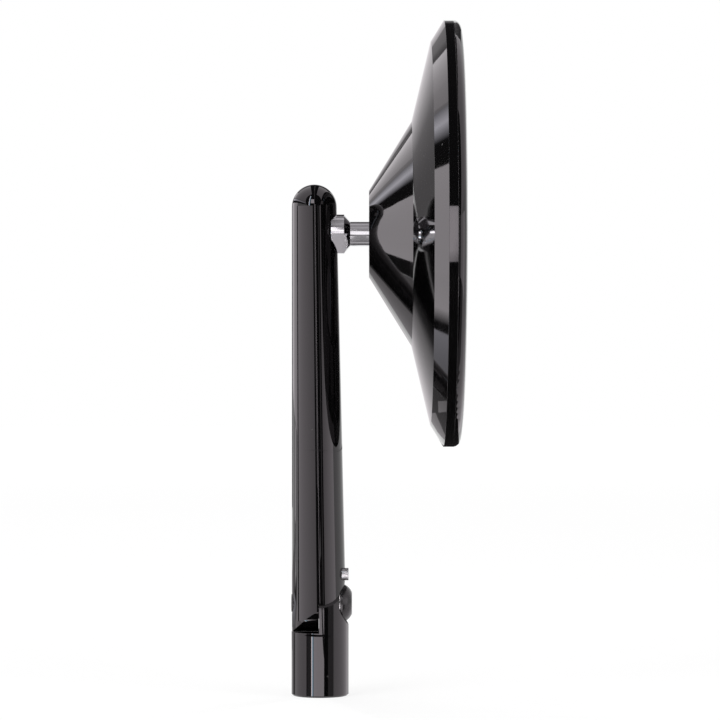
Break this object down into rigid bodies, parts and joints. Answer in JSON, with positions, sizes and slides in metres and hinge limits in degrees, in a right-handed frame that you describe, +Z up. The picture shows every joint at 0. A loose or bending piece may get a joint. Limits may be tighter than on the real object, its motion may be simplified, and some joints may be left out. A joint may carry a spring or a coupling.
{
  "type": "motorcycle mirror",
  "caption": "Round rear-view mirror on a tapered round stem with a folding half-lap foot and a ball stud that lets the head tilt.",
  "frame": {"origin": "centre of the foot's bottom face, at the mouth of its tapped hole", "axes": "+Z up the stem, +X the way the mirror glass faces, Y across the rider's view"},
  "size_m": [0.0422, 0.104, 0.1647],
  "materials": {
    "black_anodised": "gloss black anodised and lacquered aluminium",
    "chrome": "polished chrome plate",
    "black_screw": "satin black steel",
    "bronze": "sintered bronze",
    "washer_plastic": "low-friction plastic",
    "spring_steel": "spring steel",
    "seat_plastic": "glass-filled plastic",
    "inner_metal": "machined aluminium",
    "gasket_rubber": "black rubber",
    "pad_foam": "black foam adhesive",
    "mirror": "silvered convex glass"
  },
  "bodies": {
    "foot": {"foot": "black_anodised", "pivot_bush": "bronze"},
    "stem": {"stem": "black_anodised", "friction_washer": "washer_plastic", "pivot_screw": "black_screw", "pivot_spring": "spring_steel", "lock_screw": "chrome", "ball_stud": "chrome"},
    "ball_seat": {"ball_seat": "seat_plastic"},
    "ball_ring": {"ball_ring": "seat_plastic"},
    "head": {"head_shell": "black_anodised", "ball_spring": "spring_steel", "clamp_plate": "inner_metal", "clamp_screws": "black_screw", "rim_gasket": "gasket_rubber", "backing_plate": "inner_metal", "adhesive_pad": "pad_foam", "mirror_glass": "mirror", "bezel_ring": "black_anodised"}
  },
  "joints": [
    {"name": "stem_fold", "type": "hinge", "parent": "foot", "child": "stem", "pos_m": [0, 0, 0.0225], "axis": [-1, 0, 0], "range_deg": [0, 85]},
    {"name": "head_tilt", "type": "hinge", "parent": "stem", "child": "ball_seat", "pos_m": [0.0184, 0, 0.1127], "axis": [0, 1, 0], "range_deg": [-12, 12]},
    {"name": "head_pan", "type": "hinge", "parent": "ball_seat", "child": "ball_ring", "pos_m": [0.0184, 0, 0.1127], "axis": [0, 0, 1], "range_deg": [-12, 12]},
    {"name": "head_spin", "type": "hinge", "parent": "ball_ring", "child": "head", "pos_m": [0.0184, 0, 0.1127], "axis": [1, 0, 0], "continuous": true}
  ]
}
